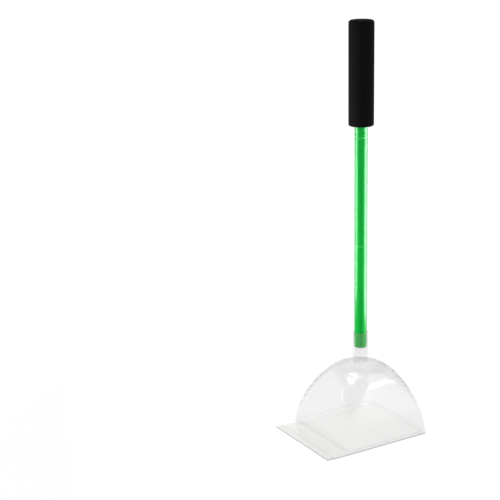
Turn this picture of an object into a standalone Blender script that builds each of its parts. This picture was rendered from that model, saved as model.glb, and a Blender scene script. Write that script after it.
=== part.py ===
# Spider catcher: a clear vaulted hood on a square frame, a shutter that slides along
# channels in the frame, and a push-fit handle of three green tubes with a foam grip.
# Metres, +Z up along the handle, -X the way the shutter slides out. The origin is on the
# floor, midway between the shutter's lip and the far end of the frame.

import math

import bmesh
import bpy

# Clearances shared by all pieces
SEAT_GAP = 0.0003
PUSH_CLEARANCE = 0.0003
CUT_OVERRUN = 0.0050

# Hood, measured from the handle's axis
HOOD_HALF_WIDTH = 0.0700
HOOD_REAR_REACH = 0.0700
HOOD_FRONT_REACH = 0.0730
HOOD_WALL = 0.0020
HOOD_FOOT_CORNER = 0.0030
INNER_FOOT_CORNER = 0.0015
VAULT_HEIGHT = 0.0993
VAULT_RISE_EXPONENT = 1.31
VAULT_SPAN_EXPONENT = 3.47
CORNER_EXPONENT = 2.25
ROOF_THICKNESS = 0.0025

# Socket on top of the hood
SOCKET_WALL = 0.0014
SOCKET_HEIGHT = 0.0507
SOCKET_DEPTH = 0.0234
SOCKET_LEDGE = 0.0016
SOCKET_EDGE = 0.0005
NECK_FILLET = 0.0045

# Base frame
SHELF_DEPTH = 0.0230
RAIL_WALL = 0.0016
RAIL_WIDTH = 0.0060
FRONT_RAIL_WIDTH = 0.0065
RAIL_LIP_THICKNESS = 0.0010
TOP_PLATE_THICKNESS = 0.0012
RIM_CLEARANCE = 0.0006
RIM_WALL = 0.0012
RIM_HEIGHT = 0.0030
STOP_LENGTH = 0.0180
STOP_DEPTH = 0.0020
RIB_SETBACK = 0.0065
RIB_HALF_WIDTH = 0.0009
RIB_HEIGHT = 0.0008
RIB_SINK = 0.0004
RIB_END_MARGIN = 0.0030

# Shutter
SHUTTER_THICKNESS = 0.0014
SLOT_CLEARANCE = 0.0003
SIDE_CLEARANCE = 0.0004
END_CLEARANCE = 0.0008
LIP_REACH = 0.0100
LIP_CORNER = 0.0010
LIP_FLOOR_GAP = 0.0003
LIP_BEAD_DEPTH = 0.0018
EAR_LENGTH = 0.0080

# Handle
TUBE_RADIUS = 0.0092
TUBE_WALL = 0.0012
TUBE_CHAMFER = 0.0003
LOWER_TUBE_LENGTH = 0.1536
TUBE_LENGTH = 0.1571
COLLAR_THICKNESS = 0.0010
SPIGOT_LENGTH = 0.0250
SPIGOT_WALL = 0.0014
SPIGOT_CHAMFER = 0.0008
GRIP_RADIUS = 0.01805
GRIP_LENGTH = 0.1481
GRIP_CAP = 0.0064
GRIP_TOP_FILLET = 0.0038
GRIP_CROWN = 0.0007
GRIP_FOOT_FILLET = 0.0020

# Facets
POINTS_PER_QUARTER = 10
VAULT_STEPS = 16
INNER_VAULT_STEPS = 14
FILLET_STEPS = 4
SMOOTH_ANGLE = math.radians(30)

# Places that follow from the sizes
QUARTER_TURN = math.pi / 2
front_reach = HOOD_FRONT_REACH + SHELF_DEPTH + LIP_REACH
axis_x = (front_reach - HOOD_REAR_REACH) / 2
slot_height = SHUTTER_THICKNESS + 2 * SLOT_CLEARANCE
frame_height = RAIL_LIP_THICKNESS + slot_height + TOP_PLATE_THICKNESS
frame_front = -HOOD_FRONT_REACH - SHELF_DEPTH
channel_half = HOOD_HALF_WIDTH - RAIL_WALL
stop_half = channel_half - STOP_DEPTH
bore_radius = TUBE_RADIUS + PUSH_CLEARANCE
neck_radius = bore_radius + SOCKET_WALL
hood_foot = frame_height + SEAT_GAP
socket_rim = VAULT_HEIGHT + SOCKET_HEIGHT
socket_ledge = socket_rim - SOCKET_DEPTH
tube_pitch = 2 * SEAT_GAP + COLLAR_THICKNESS


def section(front, rear, side, corner, z):
    """A rounded rectangle about the axis; with every reach equal to corner it is a circle."""
    points = []
    for quarter in range(4):
        reach = rear if quarter in (0, 3) else front
        centre_x = (reach - corner) * (1 if quarter in (0, 3) else -1)
        centre_y = (side - corner) * (1 if quarter in (0, 1) else -1)
        for step in range(POINTS_PER_QUARTER):
            angle = (quarter + (step + 0.5) / POINTS_PER_QUARTER) * QUARTER_TURN
            x = centre_x + corner * math.cos(angle)
            y = centre_y + corner * math.sin(angle)
            points.append((x, y, z))
    return points


def circle(radius, z):
    return section(radius, radius, radius, radius, z)


def square(inset, corner, z):
    """The hood's own outline at the foot, drawn in by inset."""
    front = HOOD_FRONT_REACH - inset
    rear = HOOD_REAR_REACH - inset
    side = HOOD_HALF_WIDTH - inset
    return section(front, rear, side, corner, z)


def clear_plastic(name, roughness):
    material = bpy.data.materials.new(name)
    material.use_nodes = True
    shader = material.node_tree.nodes["Principled BSDF"]
    shader.inputs["Base Color"].default_value = (0.93, 0.94, 0.94, 1.0)
    shader.inputs["Roughness"].default_value = roughness
    shader.inputs["IOR"].default_value = 1.57
    shader.inputs["Transmission Weight"].default_value = 0.92
    return material


def plain(name, colour, roughness):
    material = bpy.data.materials.new(name)
    material.use_nodes = True
    shader = material.node_tree.nodes["Principled BSDF"]
    shader.inputs["Base Color"].default_value = (*colour, 1.0)
    shader.inputs["Roughness"].default_value = roughness
    shader.inputs["Metallic"].default_value = 0.0
    return material


def place(name, form, material=None, parent=None, location=(0, 0, 0)):
    """Makes one object of a finished bmesh, with its normals outward."""
    bmesh.ops.recalc_face_normals(form, faces=form.faces)
    mesh = bpy.data.meshes.new(name)
    form.to_mesh(mesh)
    form.free()
    mesh.shade_smooth()
    mesh.set_sharp_from_angle(angle=SMOOTH_ANGLE)
    if material:
        mesh.materials.append(material)
    piece = bpy.data.objects.new(name, mesh)
    bpy.context.scene.collection.objects.link(piece)
    piece.parent = parent
    piece.location = location
    return piece


def loft(rings, ring_round=False):
    """Skins a run of outlines, closed into a ring or capped flat at its two ends."""
    form = bmesh.new()
    rows = [[form.verts.new(point) for point in ring] for ring in rings]
    pairs = list(zip(rows, rows[1:]))
    if ring_round:
        pairs.append((rows[-1], rows[0]))
    else:
        form.faces.new(rows[0])
        form.faces.new(rows[-1])
    for lower, upper in pairs:
        count = len(lower)
        for i in range(count):
            j = (i + 1) % count
            form.faces.new((lower[i], lower[j], upper[j], upper[i]))
    return form


def prism(outline, height, along=(0, 0, 1)):
    """Extrudes a flat outline by height along one axis."""
    form = bmesh.new()
    face = form.faces.new([form.verts.new(point) for point in outline])
    made = bmesh.ops.extrude_face_region(form, geom=[face])
    moved = [item for item in made["geom"] if isinstance(item, bmesh.types.BMVert)]
    bmesh.ops.translate(form, verts=moved, vec=[share * height for share in along])
    return form


def combine(piece, tool, operation):
    """Cuts or joins a hidden helper that shares the piece's place."""
    tool.hide_render = True
    tool.display_type = "WIRE"
    modifier = piece.modifiers.new(tool.name, "BOOLEAN")
    modifier.operation = operation
    modifier.solver = "EXACT"
    modifier.object = tool


def vault(inset, crown, corner, top, crown_gap, steps):
    """Outlines of a square vault: upright at the foot, level where it meets the crown."""
    front = HOOD_FRONT_REACH - inset
    rear = HOOD_REAR_REACH - inset
    side = HOOD_HALF_WIDTH - inset
    last_span = crown_gap / (side - crown)
    last_angle = math.acos(last_span ** (VAULT_SPAN_EXPONENT / 2))
    last_step = math.asin(last_angle / QUARTER_TURN)
    rings = []
    for i in range(steps + 1):
        angle = QUARTER_TURN * math.sin(last_step * i / steps)
        span = math.cos(angle) ** (2 / VAULT_SPAN_EXPONENT)
        rise = math.sin(angle) ** (2 / VAULT_RISE_EXPONENT)
        reaches = [crown + (reach - crown) * span for reach in (front, rear, side)]
        rounding = corner + (min(reaches) - corner) * rise**CORNER_EXPONENT
        rings.append(section(*reaches, rounding, top * rise))
    return rings


def make_hood(material):
    """One moulding: the socket's blind bore, its rim and neck, the vault, and the cavity."""
    roof = VAULT_HEIGHT - HOOD_WALL
    stop_bore = bore_radius - SOCKET_LEDGE
    bore = [
        circle(stop_bore, roof + ROOF_THICKNESS),
        circle(stop_bore, socket_ledge),
        circle(bore_radius, socket_ledge),
        circle(bore_radius, socket_rim - SOCKET_EDGE),
        circle(bore_radius + SOCKET_EDGE, socket_rim),
        circle(neck_radius - SOCKET_EDGE, socket_rim),
        circle(neck_radius, socket_rim - SOCKET_EDGE),
    ]
    neck = []
    for i in range(FILLET_STEPS, 0, -1):
        angle = QUARTER_TURN * i / FILLET_STEPS
        radius = neck_radius + NECK_FILLET * (1 - math.sin(angle))
        neck.append(circle(radius, VAULT_HEIGHT + NECK_FILLET * (1 - math.cos(angle))))
    outside = vault(0, neck_radius, HOOD_FOOT_CORNER, VAULT_HEIGHT, NECK_FILLET, VAULT_STEPS)
    crown = neck_radius - HOOD_WALL
    inside = vault(HOOD_WALL, crown, INNER_FOOT_CORNER, roof, 0, INNER_VAULT_STEPS)
    form = loft(bore + neck + outside[::-1] + inside)
    return place("hood", form, material, location=(axis_x, 0, hood_foot))


def make_frame(material):
    """A ring with a rim that locates the hood, cut to leave two channels open at the front."""
    rim_inset = HOOD_WALL + RIM_CLEARANCE
    rim_top = frame_height + RIM_HEIGHT
    rear = HOOD_REAR_REACH
    outer = (-frame_front, rear, HOOD_HALF_WIDTH, HOOD_FOOT_CORNER)
    rings = [
        section(*outer, 0),
        section(*outer, frame_height),
        square(rim_inset, INNER_FOOT_CORNER, frame_height),
        square(rim_inset, INNER_FOOT_CORNER, rim_top),
        square(rim_inset + RIM_WALL, INNER_FOOT_CORNER, rim_top),
        square(rim_inset + RIM_WALL, INNER_FOOT_CORNER, frame_height),
        square(RAIL_WIDTH, INNER_FOOT_CORNER, frame_height),
        square(RAIL_WIDTH, INNER_FOOT_CORNER, 0),
    ]
    frame = place("base_frame", loft(rings, True), material, location=(axis_x, 0, 0))

    front = frame_front - CUT_OVERRUN
    stop_face = frame_front + STOP_LENGTH
    channel_end = rear - RAIL_WALL
    half = [
        (front, stop_half),
        (stop_face, stop_half),
        (stop_face, channel_half),
        (channel_end, channel_half),
    ]
    slot = [(x, -y, RAIL_LIP_THICKNESS) for x, y in half]
    slot += [(x, y, RAIL_LIP_THICKNESS) for x, y in half[::-1]]
    channel = place("channel_cut", prism(slot, slot_height), location=frame.location)
    combine(frame, channel, "DIFFERENCE")

    runway_half = HOOD_HALF_WIDTH - FRONT_RAIL_WIDTH
    runway = [(front, -runway_half), (0, -runway_half), (0, runway_half), (front, runway_half)]
    runway = [(x, y, -CUT_OVERRUN) for x, y in runway]
    depth = CUT_OVERRUN + RAIL_LIP_THICKNESS + slot_height / 2
    under = place("runway_cut", prism(runway, depth), location=frame.location)
    combine(frame, under, "DIFFERENCE")

    rib_half = HOOD_HALF_WIDTH - RIB_END_MARGIN
    rib_x = frame_front + RIB_SETBACK
    profile = [
        (rib_x + RIB_HALF_WIDTH, -rib_half, frame_height - RIB_SINK),
        (rib_x - RIB_HALF_WIDTH, -rib_half, frame_height - RIB_SINK),
    ]
    for i in range(FILLET_STEPS + 1):
        angle = math.pi * (1 - i / FILLET_STEPS)
        x = rib_x + RIB_HALF_WIDTH * math.cos(angle)
        profile.append((x, -rib_half, frame_height + RIB_HEIGHT * math.sin(angle)))
    rib = place("shelf_rib", prism(profile, 2 * rib_half, (0, 1, 0)), location=frame.location)
    combine(frame, rib, "UNION")
    return frame


def make_shutter(material, frame):
    """A plate with two ears that meet the frame's stops, and a full-width lip with a bead."""
    lip_end = frame_front - LIP_REACH
    shoulder = frame_front - SEAT_GAP
    tongue_half = stop_half - SIDE_CLEARANCE
    ear_half = channel_half - SIDE_CLEARANCE
    rear = HOOD_REAR_REACH - RAIL_WALL - END_CLEARANCE
    ear_front = rear - EAR_LENGTH
    half = [
        (lip_end, HOOD_HALF_WIDTH - LIP_CORNER),
        (lip_end + LIP_CORNER, HOOD_HALF_WIDTH),
        (shoulder, HOOD_HALF_WIDTH),
        (shoulder, tongue_half),
        (ear_front, tongue_half),
        (ear_front + (ear_half - tongue_half), ear_half),
        (rear, ear_half),
    ]
    outline = [(x, -y, 0) for x, y in half] + [(x, y, 0) for x, y in half[::-1]]
    floor = RAIL_LIP_THICKNESS + SLOT_CLEARANCE
    shutter = place(
        "shutter",
        prism(outline, SHUTTER_THICKNESS),
        material,
        parent=frame,
        location=(0, 0, floor),
    )

    drop = floor - LIP_FLOOR_GAP
    bead_half = HOOD_HALF_WIDTH - LIP_CORNER
    profile = [
        (lip_end, -bead_half, SHUTTER_THICKNESS / 2),
        (lip_end, -bead_half, LIP_BEAD_DEPTH / 2 - drop),
        (lip_end + LIP_BEAD_DEPTH / 2, -bead_half, -drop),
        (lip_end + LIP_BEAD_DEPTH, -bead_half, -drop),
        (lip_end + LIP_BEAD_DEPTH, -bead_half, SHUTTER_THICKNESS / 2),
    ]
    bead = place("lip_bead", prism(profile, 2 * bead_half, (0, 1, 0)), location=(axis_x, 0, floor))
    combine(shutter, bead, "UNION")
    return shutter


def make_tube(name, length, material, parent, z):
    """An open tube with its end edges broken."""
    inner = TUBE_RADIUS - TUBE_WALL
    rings = [
        circle(TUBE_RADIUS - TUBE_CHAMFER, 0),
        circle(TUBE_RADIUS, TUBE_CHAMFER),
        circle(TUBE_RADIUS, length - TUBE_CHAMFER),
        circle(TUBE_RADIUS - TUBE_CHAMFER, length),
        circle(inner + TUBE_CHAMFER, length),
        circle(inner, length - TUBE_CHAMFER),
        circle(inner, TUBE_CHAMFER),
        circle(inner + TUBE_CHAMFER, 0),
    ]
    return place(name, loft(rings, True), material, parent, (0, 0, z))


def make_joiner(name, material, parent, z):
    """A hollow spigot with a thin collar that shows between two tubes; z is at the collar."""
    spigot = TUBE_RADIUS - TUBE_WALL - PUSH_CLEARANCE
    inner = spigot - SPIGOT_WALL
    low = -SPIGOT_LENGTH
    high = COLLAR_THICKNESS + SPIGOT_LENGTH
    rings = [
        circle(spigot - SPIGOT_CHAMFER, low),
        circle(spigot, low + SPIGOT_CHAMFER),
        circle(spigot, 0),
        circle(TUBE_RADIUS, 0),
        circle(TUBE_RADIUS, COLLAR_THICKNESS),
        circle(spigot, COLLAR_THICKNESS),
        circle(spigot, high - SPIGOT_CHAMFER),
        circle(spigot - SPIGOT_CHAMFER, high),
        circle(inner, high),
        circle(inner, low),
    ]
    return place(name, loft(rings, True), material, parent, (0, 0, z))


def make_grip(material, parent):
    """A foam sleeve closed at the top, drawn over the upper tube down to its own foot."""
    bore_end = TUBE_LENGTH + SEAT_GAP
    top = bore_end + GRIP_CAP
    foot = top - GRIP_LENGTH
    rings = [circle(bore_radius, bore_end), circle(bore_radius, foot)]
    for i in range(FILLET_STEPS + 1):
        angle = QUARTER_TURN * i / FILLET_STEPS
        radius = GRIP_RADIUS - GRIP_FOOT_FILLET * (1 - math.sin(angle))
        rings.append(circle(radius, foot + GRIP_FOOT_FILLET * (1 - math.cos(angle))))
    shoulder = top - GRIP_CROWN - GRIP_TOP_FILLET
    flat = GRIP_RADIUS - GRIP_TOP_FILLET
    for i in range(FILLET_STEPS + 1):
        angle = QUARTER_TURN * i / FILLET_STEPS
        radius = flat + GRIP_TOP_FILLET * math.cos(angle)
        rings.append(circle(radius, shoulder + GRIP_TOP_FILLET * math.sin(angle)))
    for i in range(1, FILLET_STEPS):
        share = i / FILLET_STEPS
        rings.append(circle(flat * (1 - share), top - GRIP_CROWN * (1 - share) ** 2))
    return place("grip", loft(rings), material, parent)


def main():
    for old in list(bpy.data.objects):
        bpy.data.objects.remove(old)

    hood_plastic = clear_plastic("hood_clear", 0.05)
    frame_plastic = clear_plastic("frame_clear", 0.08)
    shutter_plastic = clear_plastic("shutter_clear", 0.12)
    tube_green = plain("tube_green", (0.005, 0.40, 0.06), 0.28)
    joiner_green = plain("joiner_green", (0.06, 0.60, 0.16), 0.40)
    foam = plain("foam_black", (0.008, 0.008, 0.009), 0.90)

    hood = make_hood(hood_plastic)
    frame = make_frame(frame_plastic)
    make_shutter(shutter_plastic, frame)

    lower_seat = socket_ledge + SEAT_GAP
    lower = make_tube("lower_tube", LOWER_TUBE_LENGTH, tube_green, hood, lower_seat)
    make_joiner("lower_joiner", joiner_green, lower, LOWER_TUBE_LENGTH + SEAT_GAP)
    middle_seat = LOWER_TUBE_LENGTH + tube_pitch
    middle = make_tube("middle_tube", TUBE_LENGTH, tube_green, lower, middle_seat)
    make_joiner("upper_joiner", joiner_green, middle, TUBE_LENGTH + SEAT_GAP)
    upper = make_tube("upper_tube", TUBE_LENGTH, tube_green, middle, TUBE_LENGTH + tube_pitch)
    make_grip(foam, upper)


main()
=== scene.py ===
# Looks of the spider catcher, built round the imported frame. Metres, the frame's own axes.

import math

import bmesh
import bpy
from mathutils import Matrix, Vector


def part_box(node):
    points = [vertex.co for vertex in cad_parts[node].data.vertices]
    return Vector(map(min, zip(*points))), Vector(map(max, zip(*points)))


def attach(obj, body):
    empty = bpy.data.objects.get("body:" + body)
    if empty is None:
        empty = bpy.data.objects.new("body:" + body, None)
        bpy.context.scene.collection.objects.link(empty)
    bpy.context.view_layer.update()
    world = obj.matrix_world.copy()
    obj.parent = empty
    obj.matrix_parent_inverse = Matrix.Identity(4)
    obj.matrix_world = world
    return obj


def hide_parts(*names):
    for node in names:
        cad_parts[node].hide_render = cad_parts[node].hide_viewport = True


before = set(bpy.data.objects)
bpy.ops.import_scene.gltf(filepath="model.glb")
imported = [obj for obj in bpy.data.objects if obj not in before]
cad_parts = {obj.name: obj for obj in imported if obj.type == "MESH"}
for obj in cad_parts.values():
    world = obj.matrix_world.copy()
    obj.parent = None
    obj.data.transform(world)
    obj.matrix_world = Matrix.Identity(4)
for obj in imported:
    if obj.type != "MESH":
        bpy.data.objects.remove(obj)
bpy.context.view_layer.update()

# Facets of the turned and lofted pieces
POINTS_PER_QUARTER = 24
VAULT_STEPS = 56
FILLET_STEPS = 8
QUARTER_TURN = math.pi / 2
SMOOTH_ANGLE = math.radians(32)

# Hood
HOOD_WALL = 0.0020
FOOT_CORNER = 0.0030
INNER_FOOT_CORNER = 0.0015
FOOT_EDGE = 0.0004
VAULT_HEIGHT = 0.0993
VAULT_RISE_EXPONENT = 1.31
VAULT_SPAN_EXPONENT = 3.47
CORNER_EXPONENT = 2.25
ROOF_THICKNESS = 0.0025
NECK_FILLET = 0.0045
SOCKET_WALL = 0.0014
SOCKET_DEPTH = 0.0234
SOCKET_LEDGE = 0.0016
SOCKET_EDGE = 0.0006
PUSH_CLEARANCE = 0.0003

# Frame, shutter and joiners keep the solid's shape with their edges broken
MOULDED_EDGE = 0.00018
EDGE_SEGMENTS = 2
ROUND_PROFILE = 0.5
MERGE_DISTANCE = 0.00001
FLAT_ANGLE = math.radians(1)

# Tubes
TUBE_WALL = 0.0012
TUBE_EDGE = 0.0004

# Grip
GRIP_TOP_FILLET = 0.0040
GRIP_CROWN = 0.0008
GRIP_FOOT_FILLET = 0.0022
GRIP_CAP = 0.0064
GRIP_ROWS = 60

# The handle's axis and the tubes' radius, from the frame
tube_low, tube_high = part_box("middle_tube")
axis_x = (tube_low.x + tube_high.x) / 2
tube_radius = (tube_high.y - tube_low.y) / 2

# Clear plastic: thin walls hardly bend what is behind them, and their gloss is a coat
CLEAR_IOR = 1.04
CLEAR_COAT_IOR = 1.45
CLEAR_COAT_ROUGHNESS = 0.17
CLEAR_DEPTH_COLOUR = (0.45, 0.45, 0.42)
HOOD_DEPTH = 1.0
SHEET_DEPTH = 6.0
HOOD_HAZE = 0.03
FRAME_HAZE = 0.05
SHUTTER_HAZE = 0.08
HAZE_SPREAD = 0.5
HAZE_SCALE = 60.0
HAZE_DETAIL = 3.0
HOOD_WAVE = 0.0002
SHEET_WAVE = 0.0001
WAVE_SCALE = 26.0
WAVE_DETAIL = 1.0
WAVE_STRETCH = (1, 1, 0.6)
WAVE_STRENGTH = 0.5
LAMP_PASS = (0.93, 0.93, 0.93)

# Tints of the clear pieces, and where the hood's differ: heights, and reaches from the axis; besides
# the plastic's own tint they carry painted shade, as marked below
HOOD_TINT = (0.930, 0.930, 0.929)
# Dark rims where the hood's wall turns away: partly the tint of its long slanting path, partly painted
# shade
RIM_TINT_AND_SHADE = (0.72, 0.72, 0.72)
RIM_FROM = 0.42
RIM_TO = 0.80
# Painted shade on the neck and on the crown round it, fading out away from the axis
NECK_TINT_AND_SHADE = (0.872, 0.872, 0.868)
NECK_SHADE_WITHIN = 0.012
NECK_SHADE_GONE_BY = 0.040
# The neck's rims, dark the same way: partly the tint of the slanting path, partly painted shade
NECK_RIM_TINT_AND_SHADE = (0.70, 0.70, 0.70)
NECK_RIM_FROM = 0.45
NECK_RIM_TO = 0.90
# The neck's foot is left paler, with less of the painted shade
NECK_FOOT_TINT = (0.928, 0.928, 0.925)
NECK_FOOT_WITHIN = 0.0115
NECK_FOOT_GONE_BY = 0.0145
NECK_FOOT_FROM = 0.110
NECK_FOOT_TO = 0.134
# Painted shade on the socket's rounded rim
SOCKET_RIM_TINT_AND_SHADE = (0.78, 0.78, 0.78)
# The frame under the hood is a touch darker than its shelf ahead of it: painted shade under the hood
FRAME_TINT = (0.995, 0.995, 0.990)
SHELF_TINT = (1.0, 1.0, 0.992)
# The shutter's tint is partly its own and partly painted shade of the ground under the hood; its lip
# ahead of the frame is painted darker, as painted shade
SHUTTER_TINT_AND_SHADE = (0.948, 0.948, 0.938)
LIP_TINT_AND_SHADE = (0.880, 0.880, 0.863)

# Painted shade on the edges of the frame and the shutter, for the dark line that refraction and the
# contact shadow give there: shares of the tint, heights, and Z of the normal
SIDE_SHADE_SHARE = 0.72
CUT_SHADE_SHARE = 0.25
SHEET_EDGE_TOP = 0.0041
FRAME_CUT_HEIGHT = 0.0019
SHUTTER_CUT_HEIGHT = 0.0030
UPRIGHT_BELOW = 0.5
UNDERSIDE_BELOW = -0.85
FRONT_SIDE_BELOW = 0.5

# Green plastic
TUBE_DARK = (0.001, 0.34, 0.032)
TUBE_LIGHT = (0.002, 0.40, 0.036)
TUBE_ROUGHNESS = 0.25
TUBE_GLOSS = 0.12
COLLAR_DARK = (0.06, 0.66, 0.15)
COLLAR_LIGHT = (0.07, 0.70, 0.17)
COLLAR_ROUGHNESS = 0.35
COLLAR_GLOSS = 0.2
GREEN_GLOSS_TINT = (0.72, 0.68, 1.0)
STREAK_SCALE = 160.0
STREAK_DETAIL = 3.0
STREAK_STRETCH = (1, 1, 0.04)
STREAK_DARK_AT = 0.35
STREAK_LIGHT_AT = 0.65
STREAK_SPREAD = 0.2
STREAK_DEPTH = 0.00004
STREAK_STRENGTH = 0.3

# Foam
FOAM_DARK = (0.0014, 0.0014, 0.0015)
FOAM_LIGHT = (0.0040, 0.0040, 0.0041)
FOAM_DARK_AT = 0.35
FOAM_LIGHT_AT = 0.70
FOAM_GRAIN_SCALE = 900.0
FOAM_GRAIN_DETAIL = 6.0
FOAM_ROUGHNESS_LOW = 0.78
FOAM_ROUGHNESS_HIGH = 0.98
FOAM_GLOSS = 0.08
FOAM_SHEEN = 0.012
FOAM_SHEEN_ROUGHNESS = 0.5
FOAM_CELL_SCALE = 1100.0
FOAM_CELL_DEPTH = 0.00025
FOAM_CELL_STRENGTH = 0.5

# Floor and surroundings; the heights of the sky are those of its direction, 1 overhead
FLOOR_HALF = 6.0
FLOOR_COLOUR = (0.12, 0.12, 0.12)
FLOOR_ROUGHNESS = 0.9
FLOOR_GLOW_NEAR = 0.89
FLOOR_GLOW_FAR = 0.92
FLOOR_OTHER_SHARE = 0.4
FLOOR_NEAR = 0.30
FLOOR_FAR = 1.00
HORIZON_WHITE_BELOW = 0.42
CEILING_FROM = 0.70
CEILING_SHADE = 0.12
FILL_LEVEL = 0.80

# Camera, as seen in the photograph: placed from the handle's foot
CAMERA_DISTANCE = 1.780
CAMERA_HEIGHT = 0.7941
CAMERA_YAW = math.radians(35.35)
CAMERA_PAN = math.radians(5.16)
CAMERA_PITCH = math.radians(16.10)
CAMERA_ROLL = math.radians(1.26)
CAMERA_LENS = 91.95


# Meshes


def section(front, rear, side, corner, z):
    """A rounded rectangle about the handle's axis, with front toward -X."""
    # Quarters 0 and 3 lie toward +X, and 0 and 1 toward +Y
    points = []
    for quarter in range(4):
        reach = rear if quarter in (0, 3) else front
        centre_x = (reach - corner) * (1 if quarter in (0, 3) else -1)
        centre_y = (side - corner) * (1 if quarter in (0, 1) else -1)
        for step in range(POINTS_PER_QUARTER):
            angle = (quarter + (step + 0.5) / POINTS_PER_QUARTER) * QUARTER_TURN
            x = axis_x + centre_x + corner * math.cos(angle)
            points.append((x, centre_y + corner * math.sin(angle), z))
    return points


def circle(radius, z):
    """A circle about the handle's axis, with as many points as a section."""
    return section(radius, radius, radius, radius, z)


def skin(name, rings, ring_round=False):
    """Skins a run of outlines into one closed mesh object.

    The first and last outline are capped, or joined to each other with ring_round.
    """
    form = bmesh.new()
    rows = [[form.verts.new(point) for point in ring] for ring in rings]
    pairs = list(zip(rows, rows[1:]))
    if ring_round:
        pairs.append((rows[-1], rows[0]))
    else:
        form.faces.new(rows[0])
        form.faces.new(rows[-1])
    for lower, upper in pairs:
        for i in range(len(lower)):
            j = (i + 1) % len(lower)
            form.faces.new((lower[i], lower[j], upper[j], upper[i]))
    return as_piece(name, form)


def as_piece(name, form):
    """Turns a bmesh into an object of the scene, smooth but for its sharp edges."""
    bmesh.ops.recalc_face_normals(form, faces=form.faces)
    mesh = bpy.data.meshes.new(name)
    form.to_mesh(mesh)
    form.free()
    mesh.shade_smooth()
    mesh.set_sharp_from_angle(angle=SMOOTH_ANGLE)
    piece = bpy.data.objects.new(name, mesh)
    bpy.context.scene.collection.objects.link(piece)
    return piece


def softened(name, node):
    """The node's own shape as a new piece, with every sharp edge broken."""
    form = bmesh.new()
    form.from_mesh(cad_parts[node].data)
    bmesh.ops.remove_doubles(form, verts=form.verts, dist=MERGE_DISTANCE)
    bmesh.ops.dissolve_limit(form, angle_limit=FLAT_ANGLE, verts=form.verts, edges=form.edges)
    sharp = [e for e in form.edges if len(e.link_faces) == 2]
    sharp = [e for e in sharp if e.calc_face_angle() > SMOOTH_ANGLE]
    bmesh.ops.bevel(
        form,
        geom=sharp,
        offset=MOULDED_EDGE,
        segments=EDGE_SEGMENTS,
        profile=ROUND_PROFILE,
        affect="EDGES",
        clamp_overlap=True,
    )
    piece = as_piece(name, form)
    weighted = piece.modifiers.new("flat faces stay flat", "WEIGHTED_NORMAL")
    weighted.keep_sharp = True
    return piece


def vault(reaches, crown, corner, foot, height, crown_gap):
    """Outlines of the square vault from its upright foot to the level crown."""
    front, rear, side = reaches
    last_span = crown_gap / (side - crown)
    last_angle = math.acos(last_span ** (VAULT_SPAN_EXPONENT / 2))
    last_step = math.asin(last_angle / QUARTER_TURN)
    rings = []
    for i in range(VAULT_STEPS + 1):
        angle = QUARTER_TURN * math.sin(last_step * i / VAULT_STEPS)
        span = math.cos(angle) ** (2 / VAULT_SPAN_EXPONENT)
        rise = math.sin(angle) ** (2 / VAULT_RISE_EXPONENT)
        drawn = [crown + (reach - crown) * span for reach in (front, rear, side)]
        rounding = corner + (min(drawn) - corner) * rise**CORNER_EXPONENT
        rings.append(section(*drawn, rounding, foot + height * rise))
    return rings


def make_hood():
    """The vault and its neck as one shell, from the socket's floor out and round to the inner crown."""
    low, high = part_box("hood")
    foot = low.z
    top = foot + VAULT_HEIGHT
    rim = high.z
    reaches = (axis_x - low.x, high.x - axis_x, high.y)
    bore = tube_radius + PUSH_CLEARANCE
    neck = bore + SOCKET_WALL
    ledge = rim - SOCKET_DEPTH
    stop_bore = bore - SOCKET_LEDGE
    roof = VAULT_HEIGHT - HOOD_WALL

    rings = [
        circle(stop_bore, foot + roof + ROOF_THICKNESS),
        circle(stop_bore, ledge),
        circle(bore, ledge),
        circle(bore, rim - SOCKET_EDGE),
    ]
    middle = (bore + neck) / 2
    half = (neck - bore) / 2
    for i in range(1, 2 * FILLET_STEPS):
        angle = math.pi * (1 - i / (2 * FILLET_STEPS))
        lift = SOCKET_EDGE * math.sin(angle)
        rings.append(circle(middle + half * math.cos(angle), rim - SOCKET_EDGE + lift))
    rings.append(circle(neck, rim - SOCKET_EDGE))
    for i in range(FILLET_STEPS, 0, -1):
        angle = QUARTER_TURN * i / FILLET_STEPS
        radius = neck + NECK_FILLET * (1 - math.sin(angle))
        rings.append(circle(radius, top + NECK_FILLET * (1 - math.cos(angle))))

    outside = vault(reaches, neck, FOOT_CORNER, foot, VAULT_HEIGHT, NECK_FILLET)
    rings += outside[:0:-1]
    rings.append(section(*reaches, FOOT_CORNER, foot + FOOT_EDGE))
    drawn = [reach - FOOT_EDGE for reach in reaches]
    rings.append(section(*drawn, FOOT_CORNER - FOOT_EDGE, foot))
    inner = [reach - HOOD_WALL for reach in reaches]
    rings += vault(inner, neck - HOOD_WALL, INNER_FOOT_CORNER, foot, roof, 0)
    return skin("hood_shell", rings)


def make_tube(node):
    """An open tube with rounded outer edges."""
    low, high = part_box(node)
    outer = tube_radius
    inner = outer - TUBE_WALL
    rings = []
    for z, turn in ((low.z, 1), (high.z, -1)):
        edge = []
        for i in range(FILLET_STEPS + 1):
            angle = QUARTER_TURN * i / FILLET_STEPS
            radius = outer - TUBE_EDGE * (1 - math.sin(angle))
            edge.append(circle(radius, z + turn * TUBE_EDGE * (1 - math.cos(angle))))
        rings += edge if turn > 0 else edge[::-1]
    rings.append(circle(inner, high.z))
    rings.append(circle(inner, low.z))
    return skin(node + "_skin", rings, True)


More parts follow.
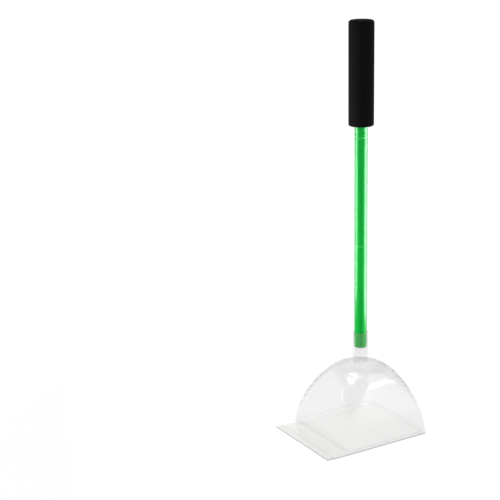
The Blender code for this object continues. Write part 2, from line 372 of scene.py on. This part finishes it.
def make_grip():
    """The foam sleeve: a closed bore, a soft foot, a straight wall, a rolled shoulder, a low crown."""
    low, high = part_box("grip")
    outer = (high.x - low.x) / 2
    bore = tube_radius + PUSH_CLEARANCE
    foot, top = low.z, high.z
    rings = [circle(bore, top - GRIP_CAP), circle(bore, foot)]
    for i in range(FILLET_STEPS + 1):
        angle = QUARTER_TURN * i / FILLET_STEPS
        radius = outer - GRIP_FOOT_FILLET * (1 - math.sin(angle))
        rings.append(circle(radius, foot + GRIP_FOOT_FILLET * (1 - math.cos(angle))))
    shoulder = top - GRIP_CROWN - GRIP_TOP_FILLET
    start = foot + GRIP_FOOT_FILLET
    for i in range(1, GRIP_ROWS):
        rings.append(circle(outer, start + (shoulder - start) * i / GRIP_ROWS))
    flat = outer - GRIP_TOP_FILLET
    for i in range(FILLET_STEPS + 1):
        angle = QUARTER_TURN * i / FILLET_STEPS
        radius = flat + GRIP_TOP_FILLET * math.cos(angle)
        rings.append(circle(radius, shoulder + GRIP_TOP_FILLET * math.sin(angle)))
    for i in range(1, FILLET_STEPS):
        share = i / FILLET_STEPS
        rings.append(circle(flat * (1 - share), top - GRIP_CROWN * (1 - share) ** 2))
    return skin("foam_grip", rings)


# Nodes of materials and world


def new_material(name):
    """A new material with its nodes, its links and its shader."""
    material = bpy.data.materials.new(name)
    material.use_nodes = True
    nodes = material.node_tree.nodes
    return material, nodes, material.node_tree.links, nodes["Principled BSDF"]


def object_noise(nodes, links, scale, detail, stretch=(1, 1, 1)):
    """Noise in the piece's own coordinates, drawn out along an axis by stretch."""
    coordinates = nodes.new("ShaderNodeTexCoord")
    mapping = nodes.new("ShaderNodeMapping")
    mapping.inputs["Scale"].default_value = stretch
    noise = nodes.new("ShaderNodeTexNoise")
    noise.inputs["Scale"].default_value = scale
    noise.inputs["Detail"].default_value = detail
    links.new(coordinates.outputs["Object"], mapping.inputs["Vector"])
    links.new(mapping.outputs["Vector"], noise.inputs["Vector"])
    return noise.outputs["Fac"]


def map_range(nodes, links, source, start, end, low, high, smooth=False):
    """Goes from low at start to high at end, and stays level beyond them."""
    spread = nodes.new("ShaderNodeMapRange")
    spread.interpolation_type = "SMOOTHSTEP" if smooth else "LINEAR"
    spread.inputs["From Min"].default_value = start
    spread.inputs["From Max"].default_value = end
    spread.inputs["To Min"].default_value = low
    spread.inputs["To Max"].default_value = high
    links.new(source, spread.inputs["Value"])
    return spread.outputs["Result"]


def rise(nodes, links, source, start, end):
    """Goes smoothly from 0 at start to 1 at end."""
    return map_range(nodes, links, source, start, end, 0, 1, smooth=True)


def vary(nodes, links, source, middle, share):
    """Turns a 0 to 1 value into one that strays from the middle by a share of it."""
    return map_range(nodes, links, source, 0, 1, middle * (1 - share), middle * (1 + share))


def calculate(nodes, links, operation, *sources):
    """The result of a math node; each source is a socket or a plain number."""
    node = nodes.new("ShaderNodeMath")
    node.operation = operation
    for i, source in enumerate(sources):
        if isinstance(source, (int, float)):
            node.inputs[i].default_value = source
        else:
            links.new(source, node.inputs[i])
    return node.outputs["Value"]


def blend(nodes, links, share, first, second):
    """Mixes two colours, each a plain colour or a socket; share 1 gives the second."""
    mix = nodes.new("ShaderNodeMix")
    mix.data_type = "RGBA"
    links.new(share, mix.inputs["Factor"])
    for side, colour in (("A", first), ("B", second)):
        if isinstance(colour, tuple):
            mix.inputs[side].default_value = (*colour, 1.0)
        else:
            links.new(colour, mix.inputs[side])
    return mix.outputs["Result"]


def two_tone(nodes, links, source, dark, dark_at, light, light_at):
    """The dark colour below one value of the source, the light one above another."""
    colour = nodes.new("ShaderNodeValToRGB")
    colour.color_ramp.elements[0].color = (*dark, 1.0)
    colour.color_ramp.elements[0].position = dark_at
    colour.color_ramp.elements[1].color = (*light, 1.0)
    colour.color_ramp.elements[1].position = light_at
    links.new(source, colour.inputs["Fac"])
    return colour.outputs["Color"]


def add_bump(nodes, links, shader, height, distance, strength):
    """Bends the shader's normal by a height, and gives back the bent normal."""
    bump = nodes.new("ShaderNodeBump")
    bump.inputs["Distance"].default_value = distance
    bump.inputs["Strength"].default_value = strength
    links.new(height, bump.inputs["Height"])
    links.new(bump.outputs["Normal"], shader.inputs["Normal"])
    return bump.outputs["Normal"]


def seen_directly(nodes, links, other_share):
    """1 for camera, reflected and transmitted rays, other_share for diffuse ones."""
    path = nodes.new("ShaderNodeLightPath")
    total = calculate(nodes, links, "MULTIPLY", path.outputs["Is Diffuse Ray"], other_share)
    for kind in ("Is Camera Ray", "Is Glossy Ray", "Is Transmission Ray"):
        total = calculate(nodes, links, "MAXIMUM", total, path.outputs[kind])
    return total


# Materials


def clear_plastic(name, tint, haze, wave, depth):
    """Clear moulded plastic that lets the lamps through to what is behind it.

    Its roughness strays about haze, wave is the depth of its unevenness, and depth is how strongly
    it colours what is seen through a thick wall.
    """
    material, nodes, links, shader = new_material(name)
    shader.inputs["Base Color"].default_value = (*tint, 1.0)
    shader.inputs["Transmission Weight"].default_value = 1.0
    shader.inputs["IOR"].default_value = CLEAR_IOR
    shader.inputs["Coat Weight"].default_value = 1.0
    shader.inputs["Coat IOR"].default_value = CLEAR_COAT_IOR
    shader.inputs["Coat Roughness"].default_value = CLEAR_COAT_ROUGHNESS
    smear = object_noise(nodes, links, HAZE_SCALE, HAZE_DETAIL)
    links.new(vary(nodes, links, smear, haze, HAZE_SPREAD), shader.inputs["Roughness"])
    flow = object_noise(nodes, links, WAVE_SCALE, WAVE_DETAIL, WAVE_STRETCH)
    bent = add_bump(nodes, links, shader, flow, wave, WAVE_STRENGTH)
    links.new(bent, shader.inputs["Coat Normal"])

    path = nodes.new("ShaderNodeLightPath")
    through = nodes.new("ShaderNodeBsdfTransparent")
    through.inputs["Color"].default_value = (*LAMP_PASS, 1.0)
    choose = nodes.new("ShaderNodeMixShader")
    links.new(path.outputs["Is Shadow Ray"], choose.inputs["Fac"])
    links.new(shader.outputs["BSDF"], choose.inputs[1])
    links.new(through.outputs["BSDF"], choose.inputs[2])
    links.new(choose.outputs["Shader"], nodes["Material Output"].inputs["Surface"])

    inside = nodes.new("ShaderNodeVolumeAbsorption")
    inside.inputs["Color"].default_value = (*CLEAR_DEPTH_COLOUR, 1.0)
    inside.inputs["Density"].default_value = depth
    links.new(inside.outputs["Volume"], nodes["Material Output"].inputs["Volume"])
    return material


def shade_hood(material):
    """Deepens the hood's tint where the wall turns away: partly as its long slanting path does, and
    partly as painted shade for the dark rims that refraction gives.

    The neck and the crown round it are tinted darker as painted shade, paler at the neck's foot, and
    the rims of the neck and of the socket are painted dark as painted shade.
    """
    nodes, links = material.node_tree.nodes, material.node_tree.links
    facing = nodes.new("ShaderNodeLayerWeight").outputs["Facing"]
    turned = rise(nodes, links, facing, RIM_FROM, RIM_TO)
    wall = blend(nodes, links, turned, HOOD_TINT, RIM_TINT_AND_SHADE)

    coordinates = nodes.new("ShaderNodeTexCoord")
    place = nodes.new("ShaderNodeSeparateXYZ")
    links.new(coordinates.outputs["Object"], place.inputs["Vector"])
    turned = rise(nodes, links, facing, NECK_RIM_FROM, NECK_RIM_TO)
    neck = blend(nodes, links, turned, NECK_TINT_AND_SHADE, NECK_RIM_TINT_AND_SHADE)
    above = rise(nodes, links, place.outputs["Z"], NECK_FOOT_FROM, NECK_FOOT_TO)
    neck = blend(nodes, links, above, NECK_FOOT_TINT, neck)
    # The socket's rounded rim is painted dark, as painted shade
    rim_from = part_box("hood")[1].z - SOCKET_EDGE
    at_rim = calculate(nodes, links, "GREATER_THAN", place.outputs["Z"], rim_from)
    neck = blend(nodes, links, at_rim, neck, SOCKET_RIM_TINT_AND_SHADE)

    # The reach from the handle's axis: the height is left out of the place first
    from_axis = nodes.new("ShaderNodeVectorMath")
    from_axis.operation = "MULTIPLY_ADD"
    from_axis.inputs[1].default_value = (1, 1, 0)
    from_axis.inputs[2].default_value = (-axis_x, 0, 0)
    links.new(coordinates.outputs["Object"], from_axis.inputs[0])
    length = nodes.new("ShaderNodeVectorMath")
    length.operation = "LENGTH"
    links.new(from_axis.outputs["Vector"], length.inputs[0])
    reach = length.outputs["Value"]
    beside = rise(nodes, links, reach, NECK_FOOT_WITHIN, NECK_FOOT_GONE_BY)
    neck = blend(nodes, links, beside, neck, NECK_TINT_AND_SHADE)
    # The neck's painted shade fades out over the crown away from the axis
    outward = rise(nodes, links, reach, NECK_SHADE_WITHIN, NECK_SHADE_GONE_BY)
    colour = blend(nodes, links, outward, neck, wall)
    links.new(colour, nodes["Principled BSDF"].inputs["Base Color"])


def shade_sheet(material, tint, front_painted_tint, front_of, cut_run, cut_height):
    """Tints a flat moulding otherwise ahead of front_of, painting that part as lit or shaded apart from
    the rest, and paints shade on its upright outer faces as an edge, for the dark line that refraction
    and the contact shadow give there.

    The painted edge shade is darkest below cut_height, from the first to the second X value in cut_run.
    """
    nodes, links = material.node_tree.nodes, material.node_tree.links
    coordinates = nodes.new("ShaderNodeTexCoord")
    place = nodes.new("ShaderNodeSeparateXYZ")
    links.new(coordinates.outputs["Object"], place.inputs["Vector"])
    facing = nodes.new("ShaderNodeSeparateXYZ")
    links.new(coordinates.outputs["Normal"], facing.inputs["Vector"])
    away = nodes.new("ShaderNodeVectorMath")
    away.operation = "DOT_PRODUCT"
    links.new(coordinates.outputs["Object"], away.inputs[0])
    links.new(coordinates.outputs["Normal"], away.inputs[1])
    geometry = nodes.new("ShaderNodeNewGeometry")
    # The part ahead of front_of gets another tint: the frame's shelf is paler than its painted shade
    # under the hood, and the shutter's lip is darker, as painted shade
    front = calculate(nodes, links, "LESS_THAN", place.outputs["X"], front_of)
    flat_colour = blend(nodes, links, front, tint, front_painted_tint)

    # Painted shade on the upright outer faces that face the viewer, darkest near their foot
    edge = calculate(nodes, links, "LESS_THAN", place.outputs["X"], cut_run[1])
    for test, value, limit in (
        ("LESS_THAN", place.outputs["Z"], SHEET_EDGE_TOP),
        ("LESS_THAN", facing.outputs["Z"], UPRIGHT_BELOW),
        ("GREATER_THAN", facing.outputs["Z"], UNDERSIDE_BELOW),
        ("GREATER_THAN", away.outputs["Value"], 0),
        ("LESS_THAN", geometry.outputs["Backfacing"], FRONT_SIDE_BELOW),
    ):
        passed = calculate(nodes, links, test, value, limit)
        edge = calculate(nodes, links, "MULTIPLY", edge, passed)
    beyond = calculate(nodes, links, "GREATER_THAN", place.outputs["X"], cut_run[0])
    low = calculate(nodes, links, "LESS_THAN", place.outputs["Z"], cut_height)
    lowest = calculate(nodes, links, "MULTIPLY", beyond, low)
    side = tuple(part * SIDE_SHADE_SHARE for part in tint)
    cut = tuple(part * CUT_SHADE_SHARE for part in tint)
    edge_shade_colour = blend(nodes, links, lowest, side, cut)
    colour = blend(nodes, links, edge, flat_colour, edge_shade_colour)
    links.new(colour, nodes["Principled BSDF"].inputs["Base Color"])


def green_plastic(name, dark, light, roughness, gloss):
    """Extruded plastic: colour and roughness vary a little in long streaks."""
    material, nodes, links, shader = new_material(name)
    streaks = object_noise(nodes, links, STREAK_SCALE, STREAK_DETAIL, STREAK_STRETCH)
    colour = two_tone(nodes, links, streaks, dark, STREAK_DARK_AT, light, STREAK_LIGHT_AT)
    links.new(colour, shader.inputs["Base Color"])
    links.new(vary(nodes, links, streaks, roughness, STREAK_SPREAD), shader.inputs["Roughness"])
    shader.inputs["Specular IOR Level"].default_value = gloss
    shader.inputs["Specular Tint"].default_value = (*GREEN_GLOSS_TINT, 1.0)
    add_bump(nodes, links, shader, streaks, STREAK_DEPTH, STREAK_STRENGTH)
    return material


def black_foam(name):
    """Closed-cell foam: fine pits over a finely mottled skin."""
    material, nodes, links, shader = new_material(name)
    grain = object_noise(nodes, links, FOAM_GRAIN_SCALE, FOAM_GRAIN_DETAIL)
    colour = two_tone(nodes, links, grain, FOAM_DARK, FOAM_DARK_AT, FOAM_LIGHT, FOAM_LIGHT_AT)
    links.new(colour, shader.inputs["Base Color"])
    rough = map_range(nodes, links, grain, 0, 1, FOAM_ROUGHNESS_LOW, FOAM_ROUGHNESS_HIGH)
    links.new(rough, shader.inputs["Roughness"])
    shader.inputs["Specular IOR Level"].default_value = FOAM_GLOSS
    shader.inputs["Sheen Weight"].default_value = FOAM_SHEEN
    shader.inputs["Sheen Roughness"].default_value = FOAM_SHEEN_ROUGHNESS
    cells = nodes.new("ShaderNodeTexVoronoi")
    cells.inputs["Scale"].default_value = FOAM_CELL_SCALE
    coordinates = nodes.new("ShaderNodeTexCoord")
    links.new(coordinates.outputs["Object"], cells.inputs["Vector"])
    pits = cells.outputs["Distance"]
    add_bump(nodes, links, shader, pits, FOAM_CELL_DEPTH, FOAM_CELL_STRENGTH)
    return material


# Camera, lamps, floor and surroundings


def make_camera():
    """The photograph's view: beside and above the handle, panned, pitched and rolled."""
    data = bpy.data.cameras.new("camera")
    data.lens = CAMERA_LENS
    camera = bpy.data.objects.new("camera", data)
    bpy.context.scene.collection.objects.link(camera)
    away = Vector((-math.sin(CAMERA_YAW), -math.cos(CAMERA_YAW), 0))
    level = Matrix.Rotation(CAMERA_PAN, 3, "Z") @ -away
    upright = Vector((0, 0, 1))
    ahead = level * math.cos(CAMERA_PITCH) - upright * math.sin(CAMERA_PITCH)
    above = upright * math.cos(CAMERA_PITCH) + level * math.sin(CAMERA_PITCH)
    right = ahead.cross(above)
    rolled_right = right * math.cos(CAMERA_ROLL) - above * math.sin(CAMERA_ROLL)
    rolled_above = right * math.sin(CAMERA_ROLL) + above * math.cos(CAMERA_ROLL)
    turn = Matrix((rolled_right, rolled_above, -ahead)).transposed()
    place = Vector((axis_x, 0, CAMERA_HEIGHT)) + away * CAMERA_DISTANCE
    camera.matrix_world = Matrix.Translation(place) @ turn.to_4x4()
    bpy.context.scene.camera = camera


def group(name, pieces):
    """A collection that lamps can be linked to."""
    together = bpy.data.collections.new(name)
    for piece in pieces:
        together.objects.link(piece)
    return together


def make_lamp(
    name, lit, bearing, distance, height, aim_height, width, tall, radiance, matte=True, gloss=True
):
    """A soft box that stands at a distance from the handle's axis and looks at it.

    Its bearing is in degrees round the handle from the camera's side, right positive. It lights
    only the pieces in the collection lit, and none of their matte or gloss where that is off.
    """
    data = bpy.data.lights.new(name, "AREA")
    data.shape = "RECTANGLE"
    data.size = width
    data.size_y = tall
    data.energy = radiance * width * tall * math.pi
    lamp = bpy.data.objects.new(name, data)
    bpy.context.scene.collection.objects.link(lamp)
    angle = CAMERA_YAW - math.radians(bearing)
    side = Vector((-math.sin(angle), -math.cos(angle), 0))
    lamp.location = Vector((axis_x, 0, height)) + side * distance
    aim = Vector((axis_x, 0, aim_height)) - lamp.location
    lamp.rotation_euler = aim.to_track_quat("-Z", "Y").to_euler()
    lamp.visible_camera = False
    lamp.visible_transmission = False
    lamp.visible_diffuse = matte
    lamp.visible_glossy = gloss
    lamp.light_linking.receiver_collection = lit


def make_world():
    """White all round as seen, shaded overhead in reflections, and a plain level of light."""
    world = bpy.data.worlds.new("studio")
    bpy.context.scene.world = world
    world.use_nodes = True
    nodes, links = world.node_tree.nodes, world.node_tree.links
    coordinates = nodes.new("ShaderNodeTexCoord")
    direction = nodes.new("ShaderNodeSeparateXYZ")
    links.new(coordinates.outputs["Generated"], direction.inputs["Vector"])
    up = direction.outputs["Z"]
    sky = map_range(nodes, links, up, HORIZON_WHITE_BELOW, CEILING_FROM, 1, CEILING_SHADE, True)
    path = nodes.new("ShaderNodeLightPath")
    shade = calculate(nodes, links, "MAXIMUM", sky, path.outputs["Is Camera Ray"])
    seen = calculate(nodes, links, "MULTIPLY", shade, seen_directly(nodes, links, 0))
    fill = calculate(nodes, links, "MULTIPLY", path.outputs["Is Diffuse Ray"], FILL_LEVEL)
    level = calculate(nodes, links, "ADD", seen, fill)
    links.new(level, nodes["Background"].inputs["Strength"])
    nodes["Background"].inputs["Color"].default_value = (1, 1, 1, 1)


def make_floor():
    """A pale floor that takes the object's shadow, and glows a little less near the object."""
    mesh = bpy.data.meshes.new("floor")
    half = FLOOR_HALF
    corners = [(-half, -half, 0), (half, -half, 0), (half, half, 0), (-half, half, 0)]
    mesh.from_pydata(corners, [], [(0, 1, 2, 3)])
    floor = bpy.data.objects.new("floor", mesh)
    bpy.context.scene.collection.objects.link(floor)
    material, nodes, links, shader = new_material("floor_white")
    shader.inputs["Base Color"].default_value = (*FLOOR_COLOUR, 1)
    shader.inputs["Roughness"].default_value = FLOOR_ROUGHNESS
    shader.inputs["Specular IOR Level"].default_value = 0
    coordinates = nodes.new("ShaderNodeTexCoord")
    reach = nodes.new("ShaderNodeVectorMath")
    reach.operation = "LENGTH"
    links.new(coordinates.outputs["Object"], reach.inputs[0])
    near_far = (FLOOR_NEAR, FLOOR_FAR, FLOOR_GLOW_NEAR, FLOOR_GLOW_FAR)
    level = map_range(nodes, links, reach.outputs["Value"], *near_far)
    direct = seen_directly(nodes, links, FLOOR_OTHER_SHARE)
    glow = nodes.new("ShaderNodeEmission")
    links.new(calculate(nodes, links, "MULTIPLY", direct, level), glow.inputs["Strength"])
    both = nodes.new("ShaderNodeAddShader")
    links.new(shader.outputs["BSDF"], both.inputs[0])
    links.new(glow.outputs["Emission"], both.inputs[1])
    links.new(both.outputs["Shader"], nodes["Material Output"].inputs["Surface"])
    mesh.materials.append(material)
    return floor


def finish_piece(piece, material, body, slot, *nodes):
    """Gives a piece its material, puts it in place of the nodes and has it ride on the body."""
    piece.data.materials.clear()
    piece.data.materials.append(material)
    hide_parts(*nodes)
    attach(piece, body)
    return piece


bpy.context.scene.view_settings.view_transform = "Standard"
make_camera()

hood_clear = clear_plastic("hood_clear", HOOD_TINT, HOOD_HAZE, HOOD_WAVE, HOOD_DEPTH)
frame_clear = clear_plastic("frame_clear", FRAME_TINT, FRAME_HAZE, SHEET_WAVE, SHEET_DEPTH)
shutter_clear = clear_plastic("shutter_clear", SHUTTER_TINT_AND_SHADE, SHUTTER_HAZE, SHEET_WAVE, SHEET_DEPTH)
shade_hood(hood_clear)
hood_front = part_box("hood")[0].x
frame_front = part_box("base_frame")[0].x
frame_run = (frame_front + 2 * MOULDED_EDGE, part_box("base_frame")[1].x)
shade_sheet(frame_clear, FRAME_TINT, SHELF_TINT, hood_front, frame_run, FRAME_CUT_HEIGHT)
lip_run = (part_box("shutter")[0].x - MOULDED_EDGE, frame_front)
shade_sheet(shutter_clear, SHUTTER_TINT_AND_SHADE, LIP_TINT_AND_SHADE, frame_front, lip_run, SHUTTER_CUT_HEIGHT)
tube_green = green_plastic("tube_green", TUBE_DARK, TUBE_LIGHT, TUBE_ROUGHNESS, TUBE_GLOSS)
collar_green = green_plastic(
    "collar_green", COLLAR_DARK, COLLAR_LIGHT, COLLAR_ROUGHNESS, COLLAR_GLOSS
)
foam_black = black_foam("foam_black")

hood = finish_piece(make_hood(), hood_clear, "trap", "clear_hood", "hood")
moulding = softened("frame_moulding", "base_frame")
finish_piece(moulding, frame_clear, "trap", "clear_frame", "base_frame")
plate = softened("shutter_plate", "shutter")
finish_piece(plate, shutter_clear, "shutter", "clear_shutter", "shutter")
handle_pieces = []
tube_bodies = (("lower", "lower_handle"), ("middle", "middle_handle"), ("upper", "upper_handle"))
for part, body in tube_bodies:
    node = part + "_tube"
    handle_pieces.append(finish_piece(make_tube(node), tube_green, body, "green_tube", node))
for part, body in (("lower", "lower_handle"), ("upper", "middle_handle")):
    node = part + "_joiner"
    joiner = softened(node + "_spigot", node)
    handle_pieces.append(finish_piece(joiner, collar_green, body, "green_joiner", node))
grip = finish_piece(make_grip(), foam_black, "upper_handle", "black_foam", "grip")

vault_only = group("vault", [hood])
grip_and_floor = group("grip_and_floor", [grip, make_floor()])
tubes = group("tubes", handle_pieces)

# The tubes' bright strips and their level
make_lamp(
    "left_streak", tubes, bearing=-84, distance=0.25, height=0.37, aim_height=0.39,
    width=0.22, tall=0.48, radiance=23, matte=False,
)
make_lamp(
    "right_streak", tubes, bearing=90, distance=0.25, height=0.33, aim_height=0.35,
    width=0.24, tall=0.48, radiance=33, matte=False,
)
make_lamp(
    "left_side", tubes, bearing=-95, distance=0.42, height=0.28, aim_height=0.28,
    width=0.20, tall=0.50, radiance=6.8,
)
make_lamp(
    "front", tubes, bearing=0, distance=0.42, height=0.28, aim_height=0.28,
    width=0.20, tall=0.50, radiance=2.0, gloss=False,
)

# The grip's soft sides, and the object's shadow on the floor
make_lamp(
    "left_box", grip_and_floor, bearing=-76, distance=0.42, height=0.30, aim_height=0.28,
    width=0.34, tall=0.60, radiance=4.6,
)
make_lamp(
    "right_box", grip_and_floor, bearing=90, distance=0.50, height=0.16, aim_height=0.14,
    width=0.54, tall=0.32, radiance=2.6,
)

# The tubes' level on the right, as left_side gives it on the left
make_lamp(
    "right_side", tubes, bearing=95, distance=0.42, height=0.28, aim_height=0.28,
    width=0.20, tall=0.50, radiance=6.8,
)

# The vault's thin lines, its broad panel and band, and the star on its shoulder
make_lamp(
    "left_line", vault_only, bearing=-80.5, distance=0.45, height=0.35, aim_height=0.08,
    width=0.04, tall=0.19, radiance=4.0,
)
make_lamp(
    "right_panel", vault_only, bearing=78, distance=0.55, height=0.155, aim_height=0.15,
    width=0.44, tall=0.31, radiance=1.1,
)
make_lamp(
    "right_line", vault_only, bearing=60, distance=0.55, height=0.20, aim_height=0.08,
    width=0.010, tall=0.24, radiance=2.0,
)
make_lamp(
    "right_strip", vault_only, bearing=85, distance=0.80, height=0.64, aim_height=0.09,
    width=0.70, tall=0.24, radiance=4.8,
)
make_lamp(
    "right_high", vault_only, bearing=100, distance=0.80, height=1.25, aim_height=0.09,
    width=0.90, tall=0.60, radiance=1.8,
)
make_lamp(
    "star_right", vault_only, bearing=-165, distance=0.50, height=1.50, aim_height=0.09,
    width=0.42, tall=0.66, radiance=7.0,
)
make_lamp(
    "star_left", vault_only, bearing=-113, distance=0.60, height=1.50, aim_height=0.09,
    width=0.18, tall=0.20, radiance=7.0,
)
make_lamp(
    "star_low", vault_only, bearing=-84, distance=0.42, height=1.50, aim_height=0.09,
    width=0.30, tall=0.40, radiance=7.0,
)
make_world()
